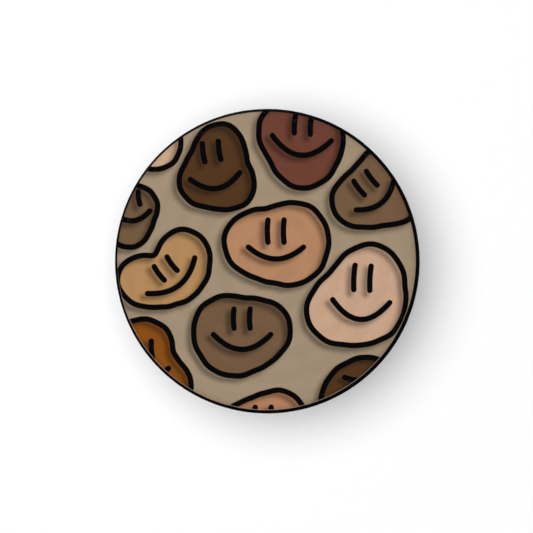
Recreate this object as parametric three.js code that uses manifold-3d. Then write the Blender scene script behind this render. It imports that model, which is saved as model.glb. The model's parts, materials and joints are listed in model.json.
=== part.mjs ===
// A round button badge: a printed paper disc under clear film, wrapped over a tinplate shell,
// with a tinplate back that carries a safety pin bent from one wire.
// Millimetres. +Z is up, the face looks along -Y, and the plane of the rear rim is y = 0.

import * as THREE from 'three';
import { mergeVertices } from 'three/addons/utils/BufferGeometryUtils.js';
import Module from 'manifold-3d';

const wasm = await Module();
wasm.setup();

// Badge body
const badgeR = 29; // outer radius: a 58 mm button
const bodyDepth = 5.6; // from the rear rim to the top of the dome
const domeR = 340; // radius of the slightly domed face
const shoulderR = 2.6; // between the face and the side wall
const rimR = 1.0; // between the side wall and the rear ring
const lipR = 0.8; // from the rear ring down into the back
const ringInnerR = 27.1; // inner edge of the flat rear ring
const lipEndY = -1.3; // where the rolled lip ends, on the back plate
const roundSegments = 48;

// Sheet thicknesses, and the air left between two sheets
const filmT = 0.1;
const paperT = 0.15;
const shellT = 0.25;
const sheetGap = 0.03;

// Back plate
const plateT = 0.28;
const plateFloorY = -2.8; // rear surface of the recessed middle
const plateFloorR = 22.0;
const plateRingY = -1.45; // rear surface of the outer ring, just under the rolled lip
const plateRingR = 23.4;
const plateEdgeR = 27.8;
const plateEdgeY = -0.95; // top of the upturned edge, inside the roll

// Pin wire
const wireR = 0.45;
const wireSides = 10;
const coilR = 1.7; // to the wire's centre line
const coilPitch = 1.0;
const coilTurns = 1.5;
const coilLean = Math.PI / 4; // the coil's axis leans from +Y towards +Z
const coilX = -17;
const coilZ = 8.7;
const coilHeight = 2.35; // coil's centre over the plate
const needleLength = 36.2;
const needlePointLength = 5;
const jointGap = 0.15; // between the wire's three nodes
const legHeight = 0.55; // straight leg's centre line over the plate

// Bridges that hold the leg, and the hook that holds the needle
const bridgeXs = [-4.5, 7.5];
const bridgeWidth = 3;
const bridgeClearance = 0.12;
const legEndX = 12;
const legTail = 2.6; // turned up at the leg's end, so that the leg can't slide out
const hookX = 16.4;
const hookWidth = 3.6;
const hookClearance = 0.2;
const hookReach = 1.1; // how far the tongue covers past the needle's centre
const hookLipLength = 0.5;
const hookRootZOffset = 1.95; // the tongue's upright stands this far above the needle
const hookSlotLength = 4.6;
const hookSlotMargin = 0.15;

const leanY = Math.cos(coilLean);
const leanZ = Math.sin(coilLean);
const coilAxis = new THREE.Vector3(0, leanY, leanZ);
const openWay = new THREE.Vector3(0, leanZ, -leanY); // the way the needle first moves
const coilCentre = new THREE.Vector3(coilX, plateFloorY + coilHeight, coilZ);
const halfCoil = (coilTurns * coilPitch) / 2;
const needleStart = coilCentre.clone().addScaledVector(openWay, coilR).addScaledVector(coilAxis, -halfCoil);
const legStart = coilCentre.clone().addScaledVector(openWay, -coilR).addScaledVector(coilAxis, halfCoil);

function arc(centreX, centreY, radius, fromAngle, toAngle, steps) {
  const points = [];
  for (let i = 0; i <= steps; i++) {
    const angle = fromAngle + ((toAngle - fromAngle) * i) / steps;
    points.push(new THREE.Vector2(centreX + radius * Math.cos(angle), centreY + radius * Math.sin(angle)));
  }
  return points;
}

// The badge's section at a given depth under its outer surface, from the axis to the lip's end.
function skinLine(depth) {
  const domeCentreY = -bodyDepth + domeR;
  const shoulderX = badgeR - shoulderR;
  const centreDistance = domeR - shoulderR;
  const shoulderY = domeCentreY - Math.sqrt(centreDistance ** 2 - shoulderX ** 2);
  const domeAngle = Math.asin(shoulderX / centreDistance);
  const down = -Math.PI / 2;
  return [
    ...arc(0, domeCentreY, domeR - depth, down, down + domeAngle / 2, 1),
    ...arc(shoulderX, shoulderY, shoulderR - depth, down + domeAngle, 0, 3),
    ...arc(badgeR - rimR, -rimR, rimR - depth, 0, Math.PI / 2, 2),
    ...arc(ringInnerR, -lipR, lipR - depth, Math.PI / 2, Math.PI, 2),
    new THREE.Vector2(ringInnerR - lipR + depth, lipEndY),
  ];
}

function turned(line) {
  const onAxis = line.map((point) => new THREE.Vector2(Math.max(point.x, 0), point.y));
  onAxis[0].x = 0;
  onAxis.at(-1).x = 0;
  return new THREE.LatheGeometry(onAxis, roundSegments);
}

function skin(depth, thickness) {
  return turned([...skinLine(depth), ...skinLine(depth + thickness).reverse()]);
}

function toSolid(geometry) {
  const bare = geometry.clone();
  bare.deleteAttribute('normal');
  bare.deleteAttribute('uv');
  const merged = mergeVertices(bare, 1e-4);
  return new wasm.Manifold(
    new wasm.Mesh({
      numProp: 3,
      vertProperties: new Float32Array(merged.attributes.position.array),
      triVerts: new Uint32Array(merged.index.array),
    }),
  );
}

function toGeometry(solid) {
  const mesh = solid.getMesh();
  const geometry = new THREE.BufferGeometry();
  geometry.setAttribute('position', new THREE.BufferAttribute(mesh.vertProperties, 3));
  geometry.setIndex(new THREE.BufferAttribute(mesh.triVerts, 1));
  const faceted = geometry.toNonIndexed();
  faceted.computeVertexNormals();
  return faceted;
}

// An outline of (z, y) points, extruded along X about the given middle.
function extrudedAcross(outline, middleX, width) {
  const geometry = new THREE.ExtrudeGeometry(new THREE.Shape(outline), {
    depth: width,
    bevelEnabled: false,
  });
  // the shape's x becomes z, its y stays y, and its depth runs along -x
  geometry.rotateY(-Math.PI / 2);
  return geometry.translate(middleX + width / 2, 0, 0);
}

function plateDisc() {
  const rear = [
    new THREE.Vector2(0, plateFloorY),
    new THREE.Vector2(plateFloorR, plateFloorY),
    new THREE.Vector2(plateRingR, plateRingY),
    new THREE.Vector2(plateEdgeR - plateT, plateRingY),
    new THREE.Vector2(plateEdgeR - plateT, plateEdgeY),
    new THREE.Vector2(plateEdgeR, plateEdgeY),
  ];
  const front = [
    new THREE.Vector2(plateEdgeR, plateRingY - plateT),
    new THREE.Vector2(plateRingR + plateT, plateRingY - plateT),
    new THREE.Vector2(plateFloorR + plateT, plateFloorY - plateT),
    new THREE.Vector2(0, plateFloorY - plateT),
  ];
  return turned([...rear, ...front].reverse());
}

// A strip of the plate pushed up into an arch over the wire's leg.
function bridge(middleX) {
  const inner = wireR + bridgeClearance;
  const outer = inner + plateT;
  const legY = plateFloorY + legHeight;
  const foot = plateFloorY - plateT / 2;
  const outline = [
    new THREE.Vector2(legStart.z + outer, foot),
    ...arc(legStart.z, legY, outer, 0, Math.PI, 8),
    new THREE.Vector2(legStart.z - outer, foot),
    new THREE.Vector2(legStart.z - inner, foot),
    ...arc(legStart.z, legY, inner, Math.PI, 0, 6),
    new THREE.Vector2(legStart.z + inner, foot),
  ];
  return extrudedAcross(outline, middleX, bridgeWidth);
}

function slot(middleX, width, middleZ, length) {
  const box = new THREE.BoxGeometry(width, plateT * 4, length);
  return box.translate(middleX, plateFloorY - plateT / 2, middleZ);
}

const hookRootZ = needleStart.z + hookRootZOffset;

// A tongue cut from the plate: it stands up, then leans over the needle along the way it opens.
function hook() {
  const along = new THREE.Vector2(-leanY, leanZ); // the opening way, in (z, y)
  const away = new THREE.Vector2(leanZ, leanY); // from the needle to the tongue
  const overNeedle = new THREE.Vector2(needleStart.z, needleStart.y).addScaledVector(
    away,
    wireR + hookClearance,
  );
  const bendDistance = (overNeedle.x - hookRootZ) / leanY;
  const bend = overNeedle.clone().addScaledVector(along, bendDistance);
  const mouth = overNeedle.clone().addScaledVector(along, hookReach);
  const lipWay = new THREE.Vector2().addVectors(along, away).normalize();
  const end = mouth.clone().addScaledVector(lipWay, hookLipLength);
  const corner = plateT * Math.tan(coilLean / 2);
  const lipSide = new THREE.Vector2(lipWay.y, -lipWay.x).multiplyScalar(-plateT);
  const outline = [
    new THREE.Vector2(hookRootZ, plateFloorY - plateT / 2),
    bend,
    mouth,
    end,
    end.clone().sub(lipSide),
    mouth.clone().addScaledVector(away, plateT).addScaledVector(along, -corner),
    bend.clone().addScaledVector(away, plateT).addScaledVector(along, -corner / 2),
    new THREE.Vector2(hookRootZ + plateT, bend.y - corner / 2),
    new THREE.Vector2(hookRootZ + plateT, plateFloorY - plateT / 2),
  ];
  return extrudedAcross(outline, hookX, hookWidth);
}

function backPlate() {
  let plate = toSolid(plateDisc());
  for (const x of bridgeXs) {
    plate = plate.subtract(toSolid(slot(x, bridgeWidth, legStart.z, 2 * (wireR + bridgeClearance))));
  }
  const hookSlotZ = hookRootZ - hookSlotLength / 2;
  const hookSlot = slot(hookX, hookWidth + 2 * hookSlotMargin, hookSlotZ, hookSlotLength);
  plate = plate.subtract(toSolid(hookSlot));
  for (const piece of [...bridgeXs.map(bridge), hook()]) {
    plate = plate.add(toSolid(piece));
  }
  return toGeometry(plate);
}

function wireSection() {
  return new THREE.Shape(arc(0, 0, wireR, 0, 2 * Math.PI, wireSides).slice(0, -1));
}

function wireAlong(path, steps) {
  return new THREE.ExtrudeGeometry(wireSection(), { steps, extrudePath: path, bevelEnabled: false });
}

// The coil's centre line, from the fixed leg round to the needle.
class CoilCurve extends THREE.Curve {
  getPoint(share, target = new THREE.Vector3()) {
    const trim = jointGap / coilR;
    const turn = coilTurns * 2 * Math.PI - 2 * trim;
    const angle = Math.PI / 2 + trim + turn * (1 - share);
    const height = halfCoil * (1 - 2 * share);
    return target
      .set(coilR * Math.cos(angle), 0, 0)
      .addScaledVector(openWay, coilR * Math.sin(angle))
      .addScaledVector(coilAxis, height)
      .add(coilCentre);
  }
}

// The fixed leg: it drops from the coil to the plate, runs under the bridges and turns up.
function anchorLeg() {
  const legY = plateFloorY + legHeight;
  const bend = 1.2;
  const path = new THREE.CurvePath();
  const start = new THREE.Vector3(coilX + jointGap, legStart.y, legStart.z);
  const landed = new THREE.Vector3(coilX + 8.5, legY, legStart.z);
  const beforeBend = new THREE.Vector3(legEndX - bend, legY, legStart.z);
  const afterBend = new THREE.Vector3(legEndX, legY, legStart.z + bend);
  const corner = new THREE.Vector3(legEndX, legY, legStart.z);
  path.add(
    new THREE.CubicBezierCurve3(
      start,
      start.clone().setX(start.x + 4),
      landed.clone().setX(landed.x - 4),
      landed,
    ),
  );
  path.add(new THREE.LineCurve3(landed, beforeBend));
  path.add(new THREE.QuadraticBezierCurve3(beforeBend, corner, afterBend));
  path.add(new THREE.LineCurve3(afterBend, afterBend.clone().setZ(afterBend.z + legTail)));
  return wireAlong(path, 44);
}

function needle() {
  const length = needleLength - jointGap;
  const line = [
    new THREE.Vector2(0, 0),
    new THREE.Vector2(wireR, 0),
    new THREE.Vector2(wireR, length - needlePointLength),
    new THREE.Vector2(wireR * 0.55, length - needlePointLength * 0.35),
    new THREE.Vector2(0, length),
  ];
  return new THREE.LatheGeometry(line, wireSides);
}

const tinplate = { color: 0xc9cbce, roughness: 0.32, metalness: 1 };
const springSteel = { color: 0xd4d5d8, roughness: 0.2, metalness: 1 };
const looks = {
  clear_film: { color: 0xf4f2ee, roughness: 0.18, metalness: 0 },
  printed_disc: { color: 0x9e8a74, roughness: 0.7, metalness: 0 },
  front_shell: tinplate,
  back_plate: tinplate,
  pin_anchor_leg: springSteel,
  pin_coil: springSteel,
  pin_needle: springSteel,
};

function piece(name, geometry) {
  const mesh = new THREE.Mesh(geometry, new THREE.MeshStandardMaterial(looks[name]));
  mesh.name = name;
  return mesh;
}

const badge = new THREE.Group();
const paperDepth = filmT + sheetGap;
const shellDepth = paperDepth + paperT + sheetGap;
badge.add(piece('clear_film', skin(0, filmT)));
badge.add(piece('printed_disc', skin(paperDepth, paperT)));
badge.add(piece('front_shell', skin(shellDepth, shellT)));
badge.add(piece('back_plate', backPlate()));
badge.add(piece('pin_anchor_leg', anchorLeg()));
badge.add(piece('pin_coil', wireAlong(new CoilCurve(), 36)));

const needleMesh = piece('pin_needle', needle());
needleMesh.rotation.z = -Math.PI / 2; // the needle's length along +X
needleMesh.position.copy(needleStart).setX(coilX + jointGap);
badge.add(needleMesh);

export default badge;
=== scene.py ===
"""Looks for the button badge: print, film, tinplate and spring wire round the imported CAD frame.

Lengths are in millimetres until a mesh is made. The stage, lights and camera are in metres.
x is right, z is up, and the face looks along -y.
"""

import json
from math import asin, cos, pi, radians, sin, sqrt

import bpy
import numpy as np
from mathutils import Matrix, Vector
from mathutils.kdtree import KDTree

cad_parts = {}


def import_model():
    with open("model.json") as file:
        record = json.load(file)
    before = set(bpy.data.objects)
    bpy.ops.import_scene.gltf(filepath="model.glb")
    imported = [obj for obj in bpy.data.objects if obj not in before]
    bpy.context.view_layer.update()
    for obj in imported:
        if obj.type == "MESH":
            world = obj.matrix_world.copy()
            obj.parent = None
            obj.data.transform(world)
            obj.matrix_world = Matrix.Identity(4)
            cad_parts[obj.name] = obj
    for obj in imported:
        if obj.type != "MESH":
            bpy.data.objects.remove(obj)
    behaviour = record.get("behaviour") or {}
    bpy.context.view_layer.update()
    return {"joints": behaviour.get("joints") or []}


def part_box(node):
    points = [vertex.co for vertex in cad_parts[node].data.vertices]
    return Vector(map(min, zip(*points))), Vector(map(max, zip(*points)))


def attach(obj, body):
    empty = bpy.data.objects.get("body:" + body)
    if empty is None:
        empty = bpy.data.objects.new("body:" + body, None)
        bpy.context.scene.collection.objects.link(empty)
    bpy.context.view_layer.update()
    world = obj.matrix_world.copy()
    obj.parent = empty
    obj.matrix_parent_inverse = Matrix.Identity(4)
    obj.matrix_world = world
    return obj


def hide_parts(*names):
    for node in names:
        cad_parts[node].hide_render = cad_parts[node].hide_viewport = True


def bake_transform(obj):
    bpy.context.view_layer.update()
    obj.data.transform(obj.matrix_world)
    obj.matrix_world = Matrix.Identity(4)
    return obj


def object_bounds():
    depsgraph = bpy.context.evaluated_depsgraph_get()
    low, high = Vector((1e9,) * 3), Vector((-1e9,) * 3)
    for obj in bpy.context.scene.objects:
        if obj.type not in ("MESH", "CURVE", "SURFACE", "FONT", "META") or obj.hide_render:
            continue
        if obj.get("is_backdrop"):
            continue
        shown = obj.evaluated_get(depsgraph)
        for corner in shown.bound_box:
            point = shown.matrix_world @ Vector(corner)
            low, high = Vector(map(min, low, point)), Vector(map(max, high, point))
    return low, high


MM = 0.001
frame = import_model()


def box_mm(node):
    """A CAD node's lowest and highest corners, in millimetres."""
    low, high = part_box(node)
    return np.array(low) / MM, np.array(high) / MM


# Badge body, from the CAD where a box gives it
film_low, film_high = box_mm("clear_film")
plate_low, plate_high = box_mm("back_plate")
BADGE_R = film_high[0]
FACE_Y = film_low[1]
DOME_R = 340
SHOULDER_R = 2.6
RIM_R = 1.0
LIP_R = 0.8
RING_INNER_R = 27.1
LIP_END_Y = -1.3

# Where the film's gloss changes: from face to shoulder, and from shoulder to roll
SHOULDER_DEPTHS = (-4.7, -4.3)
ROLL_DEPTHS = (-2.0, -1.2)

# Skins: depth of each one's outer side under the badge's surface, and thickness
FILM_T = 0.03
PAPER_DEPTH = 0.035
PAPER_T = 0.2
SHELL_DEPTH = 0.31
SHELL_T = 0.25
PRINT_SEGMENTS = 600
PRINT_STEP = 0.3
SHELL_SEGMENTS = 192
PLEAT_HEIGHT = 0.075
PLEATS_START_Y = -1.0

# Back plate
PLATE_T = 0.28
PLATE_SEGMENTS = 256
PLATE_FLOOR_Y = plate_low[1] + PLATE_T
PLATE_FLOOR_R = 22.0
PLATE_RING_R = 23.4
PLATE_RING_Y = -1.45
PLATE_EDGE_R = plate_high[0]
PLATE_EDGE_Y = -0.95
PLATE_REAR_BEND = 0.32
PLATE_FRONT_BEND = 0.22

# Pin wire, round the hinge
hinge = next(joint for joint in frame["joints"] if joint["name"] == "pin_open")
needle_low, needle_high = box_mm("pin_needle")
leg_low, leg_high = box_mm("pin_anchor_leg")
WIRE_R = (needle_high[1] - needle_low[1]) / 2
COIL_CENTRE = np.array(hinge["pos_m"]) / MM
COIL_AXIS = np.array(hinge["axis"])
OPEN_WAY = np.cross(COIL_AXIS, (1, 0, 0))
COIL_R = 1.7
COIL_TURNS = 1.5
HALF_COIL = 0.75
LEG_HEIGHT = 0.55
LEG_DROP_LENGTH = 8.5
LEG_BEND = 1.2
NEEDLE_POINT_LENGTH = 5.0
NEEDLE_START = COIL_CENTRE + COIL_R * OPEN_WAY - HALF_COIL * COIL_AXIS
LEG_START = COIL_CENTRE - COIL_R * OPEN_WAY + HALF_COIL * COIL_AXIS

# Bridges and hook, and the slots that they are cut from
BRIDGE_XS = (-4.5, 7.5)
BRIDGE_WIDTH = 3.0
BRIDGE_CLEARANCE = 0.12
BRIDGE_SPRING = radians(22)
BRIDGE_BEND = 0.1
BRIDGE_FOOT = 0.55
FOOT_OVERLAP = 0.5
STRIP_PLAY = 0.16
STRIP_T = PLATE_T - 0.02
STRIP_Y = PLATE_FLOOR_Y - PLATE_T / 2 + 0.01
HOOK_X = 16.4
HOOK_WIDTH = 3.6
HOOK_CLEARANCE = 0.2
HOOK_BEND = 0.3
HOOK_REACH = 1.1
HOOK_LIP = 0.5
HOOK_ROOT_Z = NEEDLE_START[2] + 1.95
HOOK_SLOT = 4.6

# Print: radius where the black bleed starts, the artwork's offset, and an ink line's width and softness
ART_R = 28.28
ART_SHIFT = np.array((-0.17, 0.05))
STROKE = 1.06
EDGE_SOFTNESS = 0.03

# The shadow printed under the ink lines
SHADOW_SHIFT = np.array((-0.85, -0.75))
SHADOW_BLUR = 1.6
SHADOW_STRENGTH = 0.66

# Which points hold the artwork: how far into the bleed, and how far behind the face's highest point
BLEED_MARGIN = 0.4
FACE_DEPTH = 3

# Height over which the painted highlight beside the bleed fades in, below the middle: a pale line standing
# in for the film's gleam on the shoulder
PAINTED_HIGHLIGHT_FADE_HEIGHT = 12

# Stage and camera, in metres. Fades are in millimetres from the middle of the badge.
CARD_GAP = 0.0116
CARD_HALF = 0.11
CARD_FADE = (80, 105)
FLOOR_Z = -0.09
FLOOR_R = 1.3
FLOOR_FADE = (250, 1200)
VIEW_WIDTH = 0.10136
WIDEST_Y = -0.00197


# ---------------------------------------------------------------- mesh making


def make_piece(name, points, faces, body="badge", replaces=(), smooth_angle=None):
    """A mesh object from points in millimetres, with its body and replaced nodes."""
    mesh = bpy.data.meshes.new(name)
    mesh.from_pydata((np.asarray(points) * MM).tolist(), [], faces)
    mesh.shade_smooth()
    if smooth_angle:
        mesh.set_sharp_from_angle(angle=radians(smooth_angle))
    piece = bpy.data.objects.new(name, mesh)
    bpy.context.scene.collection.objects.link(piece)
    if replaces:
        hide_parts(*replaces)
    if body:
        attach(piece, body)
    return piece


def arc(centre_r, centre_y, radius, start, end, steps):
    """Points on an arc in the (r, y) half plane."""
    angles = np.linspace(start, end, steps + 1)
    return np.stack([centre_r + radius * np.cos(angles), centre_y + radius * np.sin(angles)], 1)


def skin_line(depth, dome_steps, arc_step):
    """The badge's section at a depth under its outer surface, from the axis to the lip's end."""
    dome_y = FACE_Y + DOME_R
    shoulder_r = BADGE_R - SHOULDER_R
    reach = DOME_R - SHOULDER_R
    shoulder_y = dome_y - sqrt(reach**2 - shoulder_r**2)
    dome_angle = asin(shoulder_r / reach)
    down = -pi / 2

    def steps(radius, angle):
        return max(2, int(round(radius * angle / arc_step)))

    dome = arc(0, dome_y, DOME_R - depth, down, down + dome_angle, dome_steps)
    dome[0, 0] = 0
    shoulder_steps = steps(SHOULDER_R, pi / 2 - dome_angle)
    shoulder = arc(shoulder_r, shoulder_y, SHOULDER_R - depth, down + dome_angle, 0, shoulder_steps)
    rim = arc(BADGE_R - RIM_R, -RIM_R, RIM_R - depth, 0, pi / 2, steps(RIM_R, pi / 2))
    lip = arc(RING_INNER_R, -LIP_R, LIP_R - depth, pi / 2, pi, steps(LIP_R, pi / 2))
    ring = np.linspace(rim[-1], lip[0], 5)[1:-1]
    end = [(RING_INNER_R - LIP_R + depth, LIP_END_Y)]
    return np.concatenate([dome, shoulder[1:], rim, ring, lip, end])


def revolve(line, segments):
    """Points and faces of a line that starts and ends on the y axis, turned round it."""
    angles = np.arange(segments) * 2 * pi / segments
    rings = [
        np.stack([r * np.cos(angles), np.full(segments, y), r * np.sin(angles)], 1)
        for r, y in line[1:-1]
    ]
    first, last = (0, line[0][1], 0), (0, line[-1][1], 0)
    points = np.concatenate([[first], *rings, [last]])
    step = np.arange(segments)
    after = (step + 1) % segments
    faces = [[0, 1 + a, 1 + b] for a, b in zip(step, after)]
    for ring in range(len(rings) - 1):
        near, far = 1 + ring * segments, 1 + (ring + 1) * segments
        faces += np.stack([near + step, far + step, far + after, near + after], 1).tolist()
    near, tip = 1 + (len(rings) - 1) * segments, len(points) - 1
    faces += [[near + a, tip, near + b] for a, b in zip(step, after)]
    return points, faces


def frames_along(line, side):
    """Two unit normals at each point of a line, carried along it without twist."""
    tangents = np.gradient(line, axis=0)
    tangents /= np.linalg.norm(tangents, axis=1)[:, None]
    sides = []
    side = np.array(side, float)
    for tangent in tangents:
        side = side - (side @ tangent) * tangent
        side /= np.linalg.norm(side)
        sides.append(side)
    sides = np.array(sides)
    return sides, np.cross(tangents, sides)


def sweep(line, section, scales, side):
    """Points and faces of a closed section carried along a line, scaled at each point."""
    sides, ups = frames_along(line, side)
    count = len(section)
    points = np.concatenate([
        centre + scale * (section[:, :1] * u + section[:, 1:] * v)
        for centre, scale, u, v in zip(line, scales, sides, ups)
    ])
    step = np.arange(count)
    after = (step + 1) % count
    faces = [list(range(count))[::-1]]
    for ring in range(len(line) - 1):
        near, far = ring * count, (ring + 1) * count
        faces += np.stack([near + step, near + after, far + after, far + step], 1).tolist()
    faces.append(list(range(len(points) - count, len(points))))
    return points, faces


def circle_section(radius, count=20):
    """Points round a circle."""
    angles = np.arange(count) * 2 * pi / count
    return radius * np.stack([np.cos(angles), np.sin(angles)], 1)


def strip_section(width, thickness, corner=0.09, corner_steps=3):
    """A flat strip's section with rounded corners, width along the first axis."""
    points = []
    for quarter, (sx, sy) in enumerate([(1, 1), (-1, 1), (-1, -1), (1, -1)]):
        centre = np.array((sx * (width / 2 - corner), sy * (thickness / 2 - corner)))
        for i in range(corner_steps + 1):
            angle = (quarter + i / corner_steps) * pi / 2
            points.append(centre + corner * np.array((cos(angle), sin(angle))))
    return np.array(points)


def resampled(line, step):
    """The same line with its points a fixed step apart."""
    lengths = np.linalg.norm(np.diff(line, axis=0), axis=1)
    along = np.concatenate([[0], np.cumsum(lengths)])
    wanted = np.linspace(0, along[-1], max(2, int(round(along[-1] / step)) + 1))
    return np.stack([np.interp(wanted, along, line[:, axis]) for axis in range(3)], 1)


def rounded_corners(points, radius, steps=8):
    """A polyline whose inner corners are replaced by quadratic curves."""
    points = [np.array(point, float) for point in points]
    line = [points[0]]
    for before, corner, after in zip(points, points[1:], points[2:]):
        start = corner + radius * (before - corner) / np.linalg.norm(before - corner)
        end = corner + radius * (after - corner) / np.linalg.norm(after - corner)
        for share in np.linspace(0, 1, steps + 1):
            line.append((1 - share) ** 2 * start + 2 * share * (1 - share) * corner + share**2 * end)
    line.append(points[-1])
    return np.array(line)


# ---------------------------------------------------------------- colours and artwork


def linear(*srgb):
    """A colour from 0-255 sRGB to linear light."""
    shares = (value / 255 for value in srgb)
    return tuple(c / 12.92 if c <= 0.04045 else ((c + 0.055) / 1.055) ** 2.4 for c in shares)


def grey(level):
    """A flat grey in linear light, with full opacity."""
    return (level, level, level, 1)


GROUND = linear(160, 141, 118)

# A pebble's outline is size * (1 + stretch * cos 2(t - stretch_way) + lump * cos 3(t - lump_way)),
# less a smooth dent of the given depth. Each row: x, z, size, stretch, stretch_way, lump, lump_way,
# dent, dent_way, colour.
PEBBLES = (
    (2.3, 3.4, 8.8, 0.12, 0, 0.050, 57, 0.07, 105, (178, 132, 98)),
    (-9.2, 17.0, 7.35, 0.10, 88, 0.120, 84, 0.00, 0, (81, 54, 31)),
    (6.5, 22.7, 8.4, 0.04, 100, 0.035, 35, 0.10, 212, (108, 64, 51)),
    (21.3, 13.5, 8.1, 0.11, 24, 0.070, 205, 0.10, 150, (116, 89, 66)),
    (17.6, -7.1, 9.25, 0.11, 48, 0.075, 78, 0.00, 0, (198, 163, 137)),
    (-19.0, -1.8, 7.8, 0.18, 27, 0.060, 66, 0.30, 128, (175, 135, 90)),
    (-4.9, -13.7, 8.4, 0.09, 8, 0.045, 135, 0.07, 75, (114, 88, 64)),
    (-22.2, -19.6, 8.3, 0.14, 134, 0.050, 68, 0.24, 18, (136, 77, 22)),
    (-0.2, -31.8, 7.8, 0.06, 20, 0.050, 60, 0.07, 100, (181, 130, 97)),
    (18.8, -26.0, 8.0, 0.05, 150, 0.050, 200, 0.05, 100, (82, 55, 30)),
    (-26.0, 9.0, 5.8, 0.06, 110, 0.070, 25, 0.08, -18, (113, 88, 64)),
    (-21.8, 22.7, 5.6, 0.03, 0, 0.040, 310, 0.00, 0, (198, 164, 138)),
)
DENT_WIDTH = radians(36)

# A face is two dashes over an arc. Each row: x, z of the arc's chord, tilt, half width, eye height,
# eye length, sag as a share of the half width.
FACES = (
    (1.8, 2.6, 0, 5.2, 3.0, 4.2, 0.43),
    (-9.7, 16.0, 8, 4.7, 4.7, 3.5, 0.50),
    (6.7, 23.2, -5, 5.6, 2.6, 3.5, 0.58),
    (20.5, 12.4, 38, 4.5, 2.9, 3.3, 0.42),
    (17.9, -7.6, -3, 5.4, 4.4, 4.6, 0.64),
    (-18.0, -2.8, 37, 5.6, 1.7, 3.2, 0.42),
    (-4.6, -13.9, 0, 5.4, 3.0, 3.6, 0.52),
    (-22.9, -20.6, 4, 4.4, 3.7, 3.3, 0.44),
    (-0.6, -32.6, 0, 4.6, 3.2, 3.5, 0.44),
    (19.6, -24.6, 78, 4.4, 3.6, 3.3, 0.44),
    (-25.2, 9.0, 8, 3.2, 2.7, 2.4, 0.44),
)
EYE_GAP = 1.52
EYE_BOW = 0.12


def pebble_radius(pebble, angles):
    """A pebble's reach from its centre, with two small fixed wobbles of a hand-drawn line."""
    _, _, size, stretch, stretch_way, lump, lump_way, dent, dent_way, _ = pebble
    wave = stretch * np.cos(2 * (angles - radians(stretch_way)))
    wave += lump * np.cos(3 * (angles - radians(lump_way)))
    wave += 0.006 * np.sin(9 * angles + lump_way) + 0.004 * np.sin(14 * angles + stretch_way + size)
    off_dent = (angles - radians(dent_way) + pi) % (2 * pi) - pi
    return size * (1 + wave - dent * np.exp(-((off_dent / DENT_WIDTH) ** 2)))


def pebble_outline(pebble):
    """Closely spaced points round a pebble."""
    angles = np.linspace(0, 2 * pi, 720, endpoint=False)
    radius = pebble_radius(pebble, angles)
    return np.array(pebble[:2]) + radius[:, None] * np.stack([np.cos(angles), np.sin(angles)], 1)


def face_strokes(face):
    """The points of a face's two eyes and its smile."""
    x, z, tilt, half_width, eye_height, eye_length, sag = face
    across, up = cos(radians(tilt)), sin(radians(tilt))
    turn = np.array(((across, up), (-up, across)))
    share = np.linspace(-1, 1, 90)
    bow = EYE_BOW * (1 - share**2)
    eyes = [np.stack([side * EYE_GAP - bow, eye_height + share * eye_length / 2], 1) for side in (-1, 1)]
    smile = np.stack([half_width * share, -sag * half_width * (1 - share**2)], 1)
    return np.array((x, z)) + np.concatenate([*eyes, smile]) @ turn


def stroke_distance(places):
    """Distance in millimetres from each (x, z) place to the nearest stroke's centre line."""
    strokes = np.concatenate([*map(pebble_outline, PEBBLES), *map(face_strokes, FACES)])
    tree = KDTree(len(strokes))
    for index, (x, z) in enumerate(strokes):
        tree.insert((x, z, 0), index)
    tree.balance()
    return np.array([tree.find((x, z, 0))[2] for x, z in places])


def fill_colours(places):
    """The flat colour at each place: its pebble's, or the ground's."""
    colours = np.tile(GROUND, (len(places), 1))
    for pebble in PEBBLES:
        offset = places - np.array(pebble[:2])
        angles = np.arctan2(offset[:, 1], offset[:, 0])
        inside = np.hypot(*offset.T) < pebble_radius(pebble, angles)
        colours[inside] = linear(*pebble[-1])
    return colours


def paint_print(piece, printed):
    """Stores the artwork on the mesh's first points, for print_material to read.

    edge is the distance in from the black bleed and ink the distance to an ink line, in millimetres.
    low grows from 0 to 1 below the middle and sets where the painted highlight shows, shade is the printed
    shadow, and fill the flat colour.
    """
    mesh = piece.data
    points = np.zeros(len(mesh.vertices) * 3, np.float32)
    mesh.vertices.foreach_get("co", points)
    points = points.reshape(-1, 3) / MM
    places = points[:, [0, 2]] - ART_SHIFT
    reach = np.hypot(*places.T)
    in_front = (reach < ART_R + BLEED_MARGIN) & (points[:, 1] < FACE_Y + FACE_DEPTH)
    on_face = in_front & (np.arange(len(points)) < printed)
    edge = np.where(on_face, ART_R - reach, -1.0)
    # Where the painted highlight shows: nowhere above the middle, growing towards the bottom.
    low = np.clip(-places[:, 1] / PAINTED_HIGHLIGHT_FADE_HEIGHT, 0, 1)
    ink = np.full(len(points), 1.0)
    shade = np.zeros(len(points))
    colours = np.tile(GROUND, (len(points), 1))
    seen = places[on_face]
    ink[on_face] = stroke_distance(seen) - STROKE / 2
    behind = stroke_distance(seen - SHADOW_SHIFT) - STROKE / 2
    share = np.clip((SHADOW_BLUR / 2 - behind) / SHADOW_BLUR, 0, 1)
    shade[on_face] = share * share * (3 - 2 * share)
    colours[on_face] = fill_colours(seen)
    for name, values in (("edge", edge), ("low", low), ("ink", ink), ("shade", shade)):
        mesh.attributes.new(name, "FLOAT", "POINT").data.foreach_set("value", values.astype(np.float32))
    rgba = np.concatenate([colours, np.ones((len(points), 1))], 1).astype(np.float32)
    mesh.attributes.new("fill", "FLOAT_COLOR", "POINT").data.foreach_set("color", rgba.ravel())


# ---------------------------------------------------------------- materials


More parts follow.
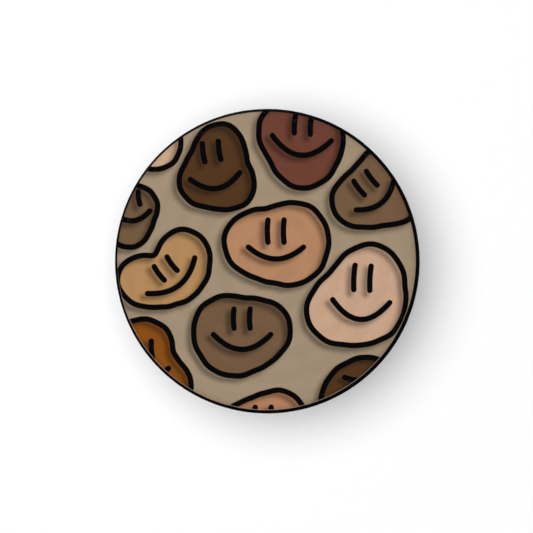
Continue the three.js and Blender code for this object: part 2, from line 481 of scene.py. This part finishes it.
class Nodes:
    """The node tree of a new material or world, with short calls to add and join nodes."""

    def __init__(self, owner, shader="Principled BSDF", output="Material Output"):
        owner.use_nodes = True
        self.owner = owner
        self.tree = owner.node_tree
        self.shader = self.tree.nodes[shader]
        self.output = self.tree.nodes[output]

    def add(self, kind, inputs=None, **settings):
        node = self.tree.nodes.new(kind)
        for key, value in settings.items():
            setattr(node, key, value)
        for key, value in (inputs or {}).items():
            self.set(node.inputs[key], value)
        return node

    def set(self, socket, value):
        if isinstance(value, bpy.types.NodeSocket):
            self.tree.links.new(value, socket)
        else:
            socket.default_value = value

    def math(self, operation, a, b):
        return self.add("ShaderNodeMath", {0: a, 1: b}, operation=operation).outputs[0]

    def map(self, value, low, high, to_low, to_high, curve="LINEAR"):
        """The value carried from low..high to to_low..to_high, and held at those ends."""
        ends = {"Value": value, "From Min": low, "From Max": high, "To Min": to_low, "To Max": to_high}
        return self.add("ShaderNodeMapRange", ends, interpolation_type=curve).outputs["Result"]

    def mix(self, share, a, b, blend="MIX"):
        """Colour a blended into colour b by share."""
        node = self.add("ShaderNodeMix", data_type="RGBA", blend_type=blend)
        for key, value in (("Factor", share), ("A", a), ("B", b)):
            self.set(next(s for s in node.inputs if s.name == key and s.enabled), value)
        return next(s for s in node.outputs if s.enabled)

    def grey(self, level):
        """A colour with one changing level in all its channels."""
        return self.add("ShaderNodeCombineColor", {0: level, 1: level, 2: level}).outputs[0]

    def attribute(self, name, output="Fac"):
        return self.add("ShaderNodeAttribute", attribute_name=name).outputs[output]

    def place(self, scale=(1, 1, 1)):
        """Position on the object in millimetres, stretched by scale."""
        here = self.add("ShaderNodeTexCoord").outputs["Object"]
        scaled = tuple(s / MM for s in scale)
        return self.add("ShaderNodeMapping", {"Vector": here, "Scale": scaled}).outputs["Vector"]

    def noise(self, place, scale, detail=3.0, roughness=0.5):
        inputs = {"Vector": place, "Scale": scale, "Detail": detail, "Roughness": roughness}
        return self.add("ShaderNodeTexNoise", inputs).outputs["Fac"]

    def bump(self, height, strength, distance_mm):
        inputs = {"Height": height, "Strength": strength, "Distance": distance_mm * MM}
        return self.add("ShaderNodeBump", inputs).outputs["Normal"]

    def fade(self, share, shader, other):
        """Puts the first shader on the surface where share is 0 and the other where it is 1."""
        both = self.add("ShaderNodeMixShader", {0: share, 1: shader, 2: other})
        self.set(self.output.inputs["Surface"], both.outputs[0])


def print_material():
    """Offset-printed coated paper: flat colours, ink lines and their printed shadow, with a painted
    highlight: a pale line inside the black bleed, towards the bottom.
    """
    n = Nodes(bpy.data.materials.new("print"))
    # Ink black, the printed shadow's brown, and the pale colour of the painted highlight.
    black, brown, painted_highlight_colour = ((*linear(*rgb), 1) for rgb in ((4, 4, 6), (26, 20, 14), (176, 152, 130)))
    grain = n.noise(n.place(), 2.6, 4.0, 0.6)
    mottle = n.noise(n.place(), 0.22, 2.0)
    tone = n.math("ADD", n.map(grain, 0.3, 0.7, -0.05, 0.05), n.map(mottle, 0.3, 0.7, 0.96, 1.0))
    fill = n.mix(1.0, n.attribute("fill", "Color"), n.grey(tone), "MULTIPLY")
    shaded = n.mix(n.math("MULTIPLY", n.attribute("shade"), SHADOW_STRENGTH), fill, brown)
    ink = n.map(n.attribute("ink"), -EDGE_SOFTNESS, EDGE_SOFTNESS, 1.0, 0.0)
    edge = n.attribute("edge")
    # Painted highlight: a pale line just inside the black bleed, stronger towards the bottom, in place of
    # the film's gleam on the shoulder.
    painted_highlight_band = n.map(edge, 0.12, 0.17, 1.0, 0.0)
    painted_highlight = n.math("MULTIPLY", painted_highlight_band, n.math("MULTIPLY", n.attribute("low"), 0.6))
    with_painted_highlight = n.mix(painted_highlight, n.mix(ink, shaded, black), painted_highlight_colour)
    bleed = n.map(edge, -EDGE_SOFTNESS, EDGE_SOFTNESS, 1.0, 0.0)
    n.set(n.shader.inputs["Base Color"], n.mix(bleed, with_painted_highlight, black))
    n.set(n.shader.inputs["Roughness"], n.map(grain, 0.2, 0.8, 0.55, 0.7))
    n.set(n.shader.inputs["Normal"], n.bump(grain, 0.25, 0.01))
    n.shader.inputs["Specular IOR Level"].default_value = 0.0
    return n.owner


def film_material():
    """Clear polyester film: only its gloss shows, a little uneven and finely scratched.

    The gloss is faint on the face, faintest on the shoulder, and full on the roll and the back.
    """
    n = Nodes(bpy.data.materials.new("film"))
    haze = n.noise(n.place(), 0.12, 3.0)
    scratches = n.noise(n.place((1.0, 1.0, 22.0)), 0.35, 5.0, 0.65)
    wave = n.noise(n.place(), 0.18, 2.0)
    uneven = n.math("ADD", n.map(haze, 0.3, 0.7, 0.0, 0.06), n.map(scratches, 0.62, 0.75, 0.0, 0.12))
    depth = n.add("ShaderNodeSeparateXYZ", {0: n.place()}).outputs["Y"]
    rough = n.math("ADD", uneven, n.map(depth, *ROLL_DEPTHS, 0.3, 0.24))
    normal = n.bump(wave, 0.2, 0.02)
    gloss = n.add("ShaderNodeBsdfGlossy", {"Color": (1, 1, 1, 1), "Roughness": rough, "Normal": normal})
    clear = n.add("ShaderNodeBsdfTransparent", {"Color": (0.995, 0.993, 0.985, 1)})
    fresnel = n.add("ShaderNodeFresnel", {"IOR": 1.45, "Normal": normal}).outputs[0]
    on_front = n.map(depth, *SHOULDER_DEPTHS, 0.045, 0.005)
    limit = n.math("ADD", on_front, n.map(depth, *ROLL_DEPTHS, 0.0, 0.6))
    outer_side = n.math("SUBTRACT", 1.0, n.add("ShaderNodeNewGeometry").outputs["Backfacing"])
    n.tree.nodes.remove(n.shader)
    share = n.math("MULTIPLY", n.math("MINIMUM", fresnel, limit), outer_side)
    n.fade(share, clear.outputs[0], gloss.outputs[0])
    return n.owner


def tinplate_material():
    """Bright rolled tinplate: fine rolling lines, soft spangle, rubbed spots and stray scratches."""
    n = Nodes(bpy.data.materials.new("tinplate"))
    rolled = n.noise(n.place((0.04, 1.0, 1.0)), 9.0, 4.0, 0.6)
    spangle = n.noise(n.place(), 0.25, 3.0)
    scratches = n.noise(n.place((3.0, 1.0, 0.12)), 0.8, 6.0, 0.7)
    rubs = n.map(scratches, 0.64, 0.72, 0.0, 1.0)
    base = n.mix(n.map(spangle, 0.35, 0.65, 0.0, 1.0), (0.64, 0.64, 0.645, 1), (0.71, 0.71, 0.705, 1))
    rubbed = n.mix(n.math("MULTIPLY", rubs, 0.3), base, (0.4, 0.39, 0.38, 1))
    rough = n.math("ADD", n.map(rolled, 0.3, 0.7, 0.24, 0.34), n.map(spangle, 0.3, 0.7, -0.015, 0.025))
    n.shader.inputs["Metallic"].default_value = 1.0
    n.set(n.shader.inputs["Base Color"], rubbed)
    n.set(n.shader.inputs["Roughness"], n.math("ADD", rough, n.math("MULTIPLY", rubs, 0.1)))
    n.set(n.shader.inputs["Normal"], n.bump(rolled, 0.35, 0.006))
    return n.owner


def wire_material():
    """Nickel-plated spring wire: bright, with faint drawing marks and a few dull spots."""
    n = Nodes(bpy.data.materials.new("wire"))
    drawn = n.noise(n.place((0.08, 2.0, 2.0)), 5.0, 4.0, 0.6)
    dull = n.noise(n.place(), 0.5, 3.0)
    plating = n.mix(n.map(dull, 0.4, 0.7, 0.0, 1.0), (0.72, 0.71, 0.69, 1), (0.60, 0.59, 0.57, 1))
    rough = n.math("ADD", n.map(drawn, 0.3, 0.7, 0.12, 0.22), n.map(dull, 0.5, 0.7, 0.0, 0.08))
    n.shader.inputs["Metallic"].default_value = 1.0
    n.set(n.shader.inputs["Base Color"], plating)
    n.set(n.shader.inputs["Roughness"], rough)
    n.set(n.shader.inputs["Normal"], n.bump(drawn, 0.25, 0.005))
    return n.owner


def paint(piece, material):
    """Gives a piece its material. Only the print is seen by light that bounces off matte surfaces.

    So the shiny pieces throw no light from the rear lamps onto the backdrop.
    """
    piece.data.materials.clear()
    piece.data.materials.append(material)
    piece.visible_diffuse = material.name == "print"


# ---------------------------------------------------------------- pieces


def printed_disc():
    """The paper, fine enough on its outer side to hold the artwork."""
    steps = int(round(BADGE_R / PRINT_STEP))
    outer = skin_line(PAPER_DEPTH, steps, PRINT_STEP)
    inner = skin_line(PAPER_DEPTH + PAPER_T, 6, 0.5)[::-1]
    points, faces = revolve(np.concatenate([outer, inner]), PRINT_SEGMENTS)
    piece = make_piece("print_sheet", pleats(points), faces, replaces=["printed_disc"])
    paint_print(piece, 1 + (len(outer) - 1) * PRINT_SEGMENTS)
    paint(piece, print_material())


def pleats(points):
    """Film and paper gather into fine uneven radial creases where they are rolled into the back."""
    angles = np.arctan2(points[:, 2], points[:, 0])
    reach = np.hypot(points[:, 0], points[:, 2])
    drift = 1.7 * np.sin(3 * angles) + 1.1 * np.sin(7 * angles + 1)
    creases = np.abs(np.sin(41 * angles + drift)) ** 0.6
    creases += 0.5 * np.abs(np.sin(67 * angles - 2 * drift)) ** 0.8
    strength = 0.55 + 0.25 * np.sin(5 * angles + 2) + 0.2 * np.sin(11 * angles)
    rear = np.clip((points[:, 1] - PLEATS_START_Y) / 0.8, 0, 1) * (reach > RING_INNER_R - LIP_R - 0.2)
    inward = np.clip((BADGE_R - 0.2 - reach) / 1.5, 0, 1)
    points[:, 1] -= PLEAT_HEIGHT * strength * (1.5 - creases) * rear * inward
    return points


def clear_film():
    """The film, over the paper."""
    outer, inner = skin_line(0, 12, 0.18), skin_line(FILM_T, 6, 0.4)
    points, faces = revolve(np.concatenate([outer, inner[::-1]]), PRINT_SEGMENTS)
    piece = make_piece("film_sheet", pleats(points), faces, replaces=["clear_film"])
    paint(piece, film_material())


def front_shell(tinplate):
    """The pressing inside the paper."""
    outer, inner = (skin_line(depth, 24, 0.25) for depth in (SHELL_DEPTH, SHELL_DEPTH + SHELL_T))
    points, faces = revolve(np.concatenate([outer, inner[::-1]]), SHELL_SEGMENTS)
    piece = make_piece("shell_pressing", points, faces, replaces=["front_shell"])
    paint(piece, tinplate)


def plate_line():
    """The back plate's section: flat floor, rounded step, flat ring and upturned edge."""
    inside_r = PLATE_EDGE_R - PLATE_T
    rear = [
        (0, 0, PLATE_FLOOR_Y),
        (PLATE_FLOOR_R, 0, PLATE_FLOOR_Y),
        (PLATE_RING_R, 0, PLATE_RING_Y),
        (inside_r, 0, PLATE_RING_Y),
        (inside_r, 0, PLATE_EDGE_Y),
    ]
    front = [
        (PLATE_EDGE_R, 0, PLATE_EDGE_Y),
        (PLATE_EDGE_R, 0, PLATE_RING_Y - PLATE_T),
        (PLATE_RING_R + PLATE_T, 0, PLATE_RING_Y - PLATE_T),
        (PLATE_FLOOR_R + PLATE_T, 0, PLATE_FLOOR_Y - PLATE_T),
        (0, 0, PLATE_FLOOR_Y - PLATE_T),
    ]
    rear_line = rounded_corners(rear, PLATE_REAR_BEND, 6)
    front_line = rounded_corners(front, PLATE_FRONT_BEND, 5)
    floor = [(PLATE_FLOOR_R * share, 0, PLATE_FLOOR_Y) for share in (0.25, 0.5, 0.75)]
    line = np.concatenate([rear_line[:1], floor, rear_line[1:], front_line])
    return line[::-1, [0, 2]]


def slot_box(x, width, z, length):
    """A cutter through the plate's floor, with rounded corners."""
    section = strip_section(width, length, 0.25, 4)
    line = np.array([(x, y, z) for y in (PLATE_FLOOR_Y + 1, PLATE_FLOOR_Y - 1.5)], float)
    points, faces = sweep(line, section, (1, 1), (1, 0, 0))
    return make_piece("cutter", points, faces, body=None)


def cut(piece, cutters):
    """Cuts the cutters out of a piece and removes them."""
    for cutter in cutters:
        modifier = piece.modifiers.new("slot", "BOOLEAN")
        modifier.operation = "DIFFERENCE"
        modifier.solver = "EXACT"
        modifier.object = cutter
    bpy.context.view_layer.update()
    done = bpy.data.meshes.new_from_object(piece.evaluated_get(bpy.context.evaluated_depsgraph_get()))
    piece.modifiers.clear()
    piece.data = done
    for cutter in cutters:
        bpy.data.objects.remove(cutter)


def strip(name, line, width, tinplate, tip=False):
    """A strip of plate along a line in the y-z plane, its far end rounded off if it is a tip."""
    line = resampled(line, 0.08)
    scales = np.ones(len(line))
    if tip:
        scales[-3:] = (0.99, 0.95, 0.86)
    points, faces = sweep(line, strip_section(width, STRIP_T), scales, (1, 0, 0))
    piece = make_piece(name, points, faces, smooth_angle=50)
    paint(piece, tinplate)


def bridge(name, x, tinplate):
    """A lanced strip that rises from the plate, arches over the leg and goes back down."""
    z, y = LEG_START[2], PLATE_FLOOR_Y + LEG_HEIGHT
    radius = WIRE_R + BRIDGE_CLEARANCE + PLATE_T / 2
    angles = np.linspace(BRIDGE_SPRING, pi - BRIDGE_SPRING, 24)
    arch = [(x, y + radius * sin(angle), z + radius * cos(angle)) for angle in angles]
    foot = radius + BRIDGE_FOOT
    upper_foot = [(x, STRIP_Y, z + foot + FOOT_OVERLAP), (x, STRIP_Y, z + foot)]
    lower_foot = [(x, STRIP_Y, z - foot), (x, STRIP_Y, z - foot - FOOT_OVERLAP)]
    line = rounded_corners([*upper_foot, *arch, *lower_foot], BRIDGE_BEND, 4)
    strip(name, line, BRIDGE_WIDTH - STRIP_PLAY, tinplate)


def hook(tinplate):
    """The tongue that stands up from the plate and leans over the needle."""
    away = WIRE_R + HOOK_CLEARANCE + PLATE_T / 2
    over = NEEDLE_START + away * COIL_AXIS
    upright_z = HOOK_ROOT_Z + PLATE_T / 2
    bend = over + OPEN_WAY * (upright_z - over[2]) / OPEN_WAY[2]
    mouth = over + HOOK_REACH * OPEN_WAY
    end = mouth + HOOK_LIP * (OPEN_WAY + COIL_AXIS) / sqrt(2)
    line = [(0, STRIP_Y, upright_z + 1.0), (0, STRIP_Y, upright_z), bend, mouth, end]
    line = rounded_corners([(HOOK_X, y, z) for _, y, z in line], HOOK_BEND, 8)
    strip("hook_tongue", line, HOOK_WIDTH - 0.1, tinplate, tip=True)


def back_plate(tinplate):
    """The plate with its slots, its two bridges and its hook."""
    points, faces = revolve(plate_line(), PLATE_SEGMENTS)
    plate = make_piece("back_pressing", points, faces, replaces=["back_plate"])
    bridge_slot = 2 * (WIRE_R + BRIDGE_CLEARANCE + PLATE_T) + 0.9
    cutters = [slot_box(x, BRIDGE_WIDTH, LEG_START[2], bridge_slot) for x in BRIDGE_XS]
    hook_z = HOOK_ROOT_Z + 0.12 - HOOK_SLOT / 2
    cutters.append(slot_box(HOOK_X, HOOK_WIDTH + 0.3, hook_z, HOOK_SLOT + 0.24))
    cut(plate, cutters)
    plate.data.shade_smooth()
    plate.data.set_sharp_from_angle(angle=radians(40))
    paint(plate, tinplate)
    for index, x in enumerate(BRIDGE_XS):
        bridge(f"bridge_{index + 1}", x, tinplate)
    hook(tinplate)


def wire(name, line, scales, material, body, replaces):
    """Round wire along a line."""
    points, faces = sweep(line, circle_section(WIRE_R), scales, (0, 0, 1))
    piece = make_piece(name, points, faces, body=body, replaces=replaces, smooth_angle=60)
    paint(piece, material)
    return piece


def anchor_leg(material):
    """The leg drops from the coil to the plate, runs under the bridges and turns up at its end."""
    leg_y = PLATE_FLOOR_Y + LEG_HEIGHT
    start = np.array((COIL_CENTRE[0], LEG_START[1], LEG_START[2]))
    landed = np.array((COIL_CENTRE[0] + LEG_DROP_LENGTH, leg_y, LEG_START[2]))
    share = np.linspace(0, 1, 40)[:, None]
    ease = share * share * (3 - 2 * share)
    drop = start + (landed - start) * np.concatenate([share, ease, ease], 1)
    corner = (leg_high[0] - WIRE_R, leg_y, LEG_START[2])
    tail = (leg_high[0] - WIRE_R, leg_y, leg_high[2])
    line = np.concatenate([drop, rounded_corners([landed, corner, tail], LEG_BEND, 12)[1:]])
    line = resampled(line, 0.2)
    scales = np.ones(len(line))
    scales[-2:] = (0.96, 0.82)
    wire("pin_leg_wire", line, scales, material, "badge", ["pin_anchor_leg"])


def coil(material):
    """One and a half turns from the leg to the needle."""
    share = np.linspace(0, 1, 110)
    angles = pi / 2 + COIL_TURNS * 2 * pi * (1 - share)
    heights = HALF_COIL * (1 - 2 * share)
    around = np.cos(angles)[:, None] * np.array((1, 0, 0)) + np.sin(angles)[:, None] * OPEN_WAY
    line = COIL_CENTRE + COIL_R * around + heights[:, None] * COIL_AXIS
    piece = wire("pin_coil_wire", line, np.ones(len(line)), material, None, ["pin_coil"])
    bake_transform(piece)


def needle(material):
    """Straight wire with a long ground point."""
    tip_x = needle_high[0]
    body = np.linspace(COIL_CENTRE[0], tip_x - NEEDLE_POINT_LENGTH, 60)
    point = tip_x - NEEDLE_POINT_LENGTH * (1 - np.linspace(0, 1, 30)[1:])
    xs = np.concatenate([body, point])
    line = np.stack([xs, np.full(len(xs), NEEDLE_START[1]), np.full(len(xs), NEEDLE_START[2])], 1)
    left = np.clip((tip_x - xs) / NEEDLE_POINT_LENGTH, 0, 1)
    scales = np.clip(left**0.8, 0.05, 1)
    wire("pin_needle_wire", line, scales, material, "pin", ["pin_needle"])


# ---------------------------------------------------------------- stage, lights and camera


def stage_sheet(name, points, greys, fade, clear_edge_on=False):
    """A pale one-sided sheet of the stage that thins out to nothing away from its middle.

    Only the camera sees it, so it neither lights the badge nor shows in it.
    """
    mesh = bpy.data.meshes.new(name)
    mesh.from_pydata(points, [], [list(range(len(points)))])
    sheet = bpy.data.objects.new(name, mesh)
    bpy.context.scene.collection.objects.link(sheet)
    sheet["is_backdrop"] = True
    for ray in ("diffuse", "glossy", "transmission", "shadow"):
        setattr(sheet, f"visible_{ray}", False)
    n = Nodes(bpy.data.materials.new(name))
    n.set(n.shader.inputs["Base Color"], n.mix(n.noise(n.place(), 0.3), *map(grey, greys)))
    n.shader.inputs["Roughness"].default_value = 0.9
    n.shader.inputs["Specular IOR Level"].default_value = 0.0
    reach = n.add("ShaderNodeVectorMath", {0: n.place()}, operation="LENGTH").outputs["Value"]
    behind = n.add("ShaderNodeNewGeometry").outputs["Backfacing"]
    gone = n.math("MAXIMUM", n.map(reach, *fade, 0.0, 1.0), behind)
    if clear_edge_on:
        edge_on = n.map(n.add("ShaderNodeLayerWeight", {"Blend": 0.5}).outputs["Facing"], 0.7, 0.9, 0.0, 1.0)
        gone = n.math("MAXIMUM", gone, edge_on)
    n.fade(gone, n.shader.outputs[0], n.add("ShaderNodeBsdfTransparent").outputs[0])
    mesh.materials.append(n.owner)


def backdrop():
    """A white card behind the pin. It takes the badge's shadow and is clear from behind and edge on."""
    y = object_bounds()[1].y + CARD_GAP
    corners = [(x * CARD_HALF, y, z * CARD_HALF) for x, z in ((-1, -1), (1, -1), (1, 1), (-1, 1))]
    stage_sheet("backdrop", corners, (0.935, 0.945), CARD_FADE, clear_edge_on=True)


def floor():
    """A pale round floor well below the badge, out of the main view."""
    angles = np.linspace(0, 2 * pi, 96, endpoint=False)
    rim = [(FLOOR_R * cos(angle), FLOOR_R * sin(angle), FLOOR_Z) for angle in angles]
    stage_sheet("floor", rim, (0.86, 0.88), FLOOR_FADE)


def area_light(name, place, size, power, mirrored=True):
    """A round lamp aimed at the badge. One that isn't mirrored leaves no glare on shiny pieces."""
    data = bpy.data.lights.new(name, "AREA")
    data.shape = "DISK"
    data.size = size
    data.energy = power
    light = bpy.data.objects.new(name, data)
    bpy.context.scene.collection.objects.link(light)
    light.location = place
    light.rotation_euler = (-Vector(place)).to_track_quat("-Z", "Y").to_euler()
    light.visible_glossy = mirrored


def lights():
    """A broad key lamp at the upper left, a small one from the camera's side, and two for the back."""
    area_light("key", (-0.496, -2.246, 0.24), 2.44, 64, mirrored=False)
    area_light("front", (0, -2.00, 0), 0.20, 4.7, mirrored=False)
    area_light("back_key", (-0.30, 0.80, 0.55), 1.30, 12.0)
    area_light("back_fill", (0.45, 0.75, 0.10), 0.60, 2.5)


def world():
    """White to the camera. The badge sees a dim room in front of it and lighter bands behind.

    In mirror reflections the bands reach round to the front, and leave dim only what faces the camera.
    """
    n = Nodes(bpy.data.worlds.new("studio"), "Background", "World Output")
    bpy.context.scene.world = n.owner
    ray = n.add("ShaderNodeLightPath").outputs
    way = n.add("ShaderNodeSeparateXYZ", {0: n.add("ShaderNodeTexCoord").outputs["Generated"]}).outputs
    start = n.map(ray["Is Glossy Ray"], 0, 1, 0.05, -0.9)
    end = n.map(ray["Is Glossy Ray"], 0, 1, 0.6, -0.5)
    rear = n.map(way["Y"], start, end, 0.0, 1.0, "SMOOTHSTEP")
    bands = n.add("ShaderNodeValToRGB", {"Fac": n.map(way["Z"], -1.0, 1.0, 0.0, 1.0)})
    levels = ((0.0, 0.35), (0.36, 0.6), (0.5, 0.12), (0.62, 0.8), (1.0, 0.5))
    ramp = bands.color_ramp
    ramp.interpolation = "B_SPLINE"
    for place, _ in levels[1:-1]:
        ramp.elements.new(place)
    for element, (place, level) in zip(ramp.elements, levels):
        element.position = place
        element.color = grey(level)
    room = n.mix(rear, grey(0.04), bands.outputs["Color"])
    lit = n.add("ShaderNodeBackground", {"Color": room})
    n.shader.inputs["Color"].default_value = grey(1)
    n.fade(ray["Is Camera Ray"], lit.outputs[0], n.shader.outputs[0])


def camera():
    """Looks straight at the face through a long lens, from a little below and left of its middle.

    VIEW_WIDTH is how much it takes in at the badge's widest plane.
    """
    data = bpy.data.cameras.new("camera")
    data.lens = 150
    data.sensor_width = 36
    data.clip_start = 0.01
    view = bpy.data.objects.new("camera", data)
    bpy.context.scene.collection.objects.link(view)
    distance = VIEW_WIDTH * data.lens / data.sensor_width
    view.location = (-0.00016, WIDEST_Y - distance, -0.00101)
    view.rotation_euler = (pi / 2, 0, 0)
    bpy.context.scene.camera = view


def main():
    tinplate, steel = tinplate_material(), wire_material()
    printed_disc()
    clear_film()
    front_shell(tinplate)
    back_plate(tinplate)
    anchor_leg(steel)
    coil(steel)
    needle(steel)
    backdrop()
    floor()
    lights()
    world()
    camera()
    bpy.context.scene.view_settings.view_transform = "Standard"


main()
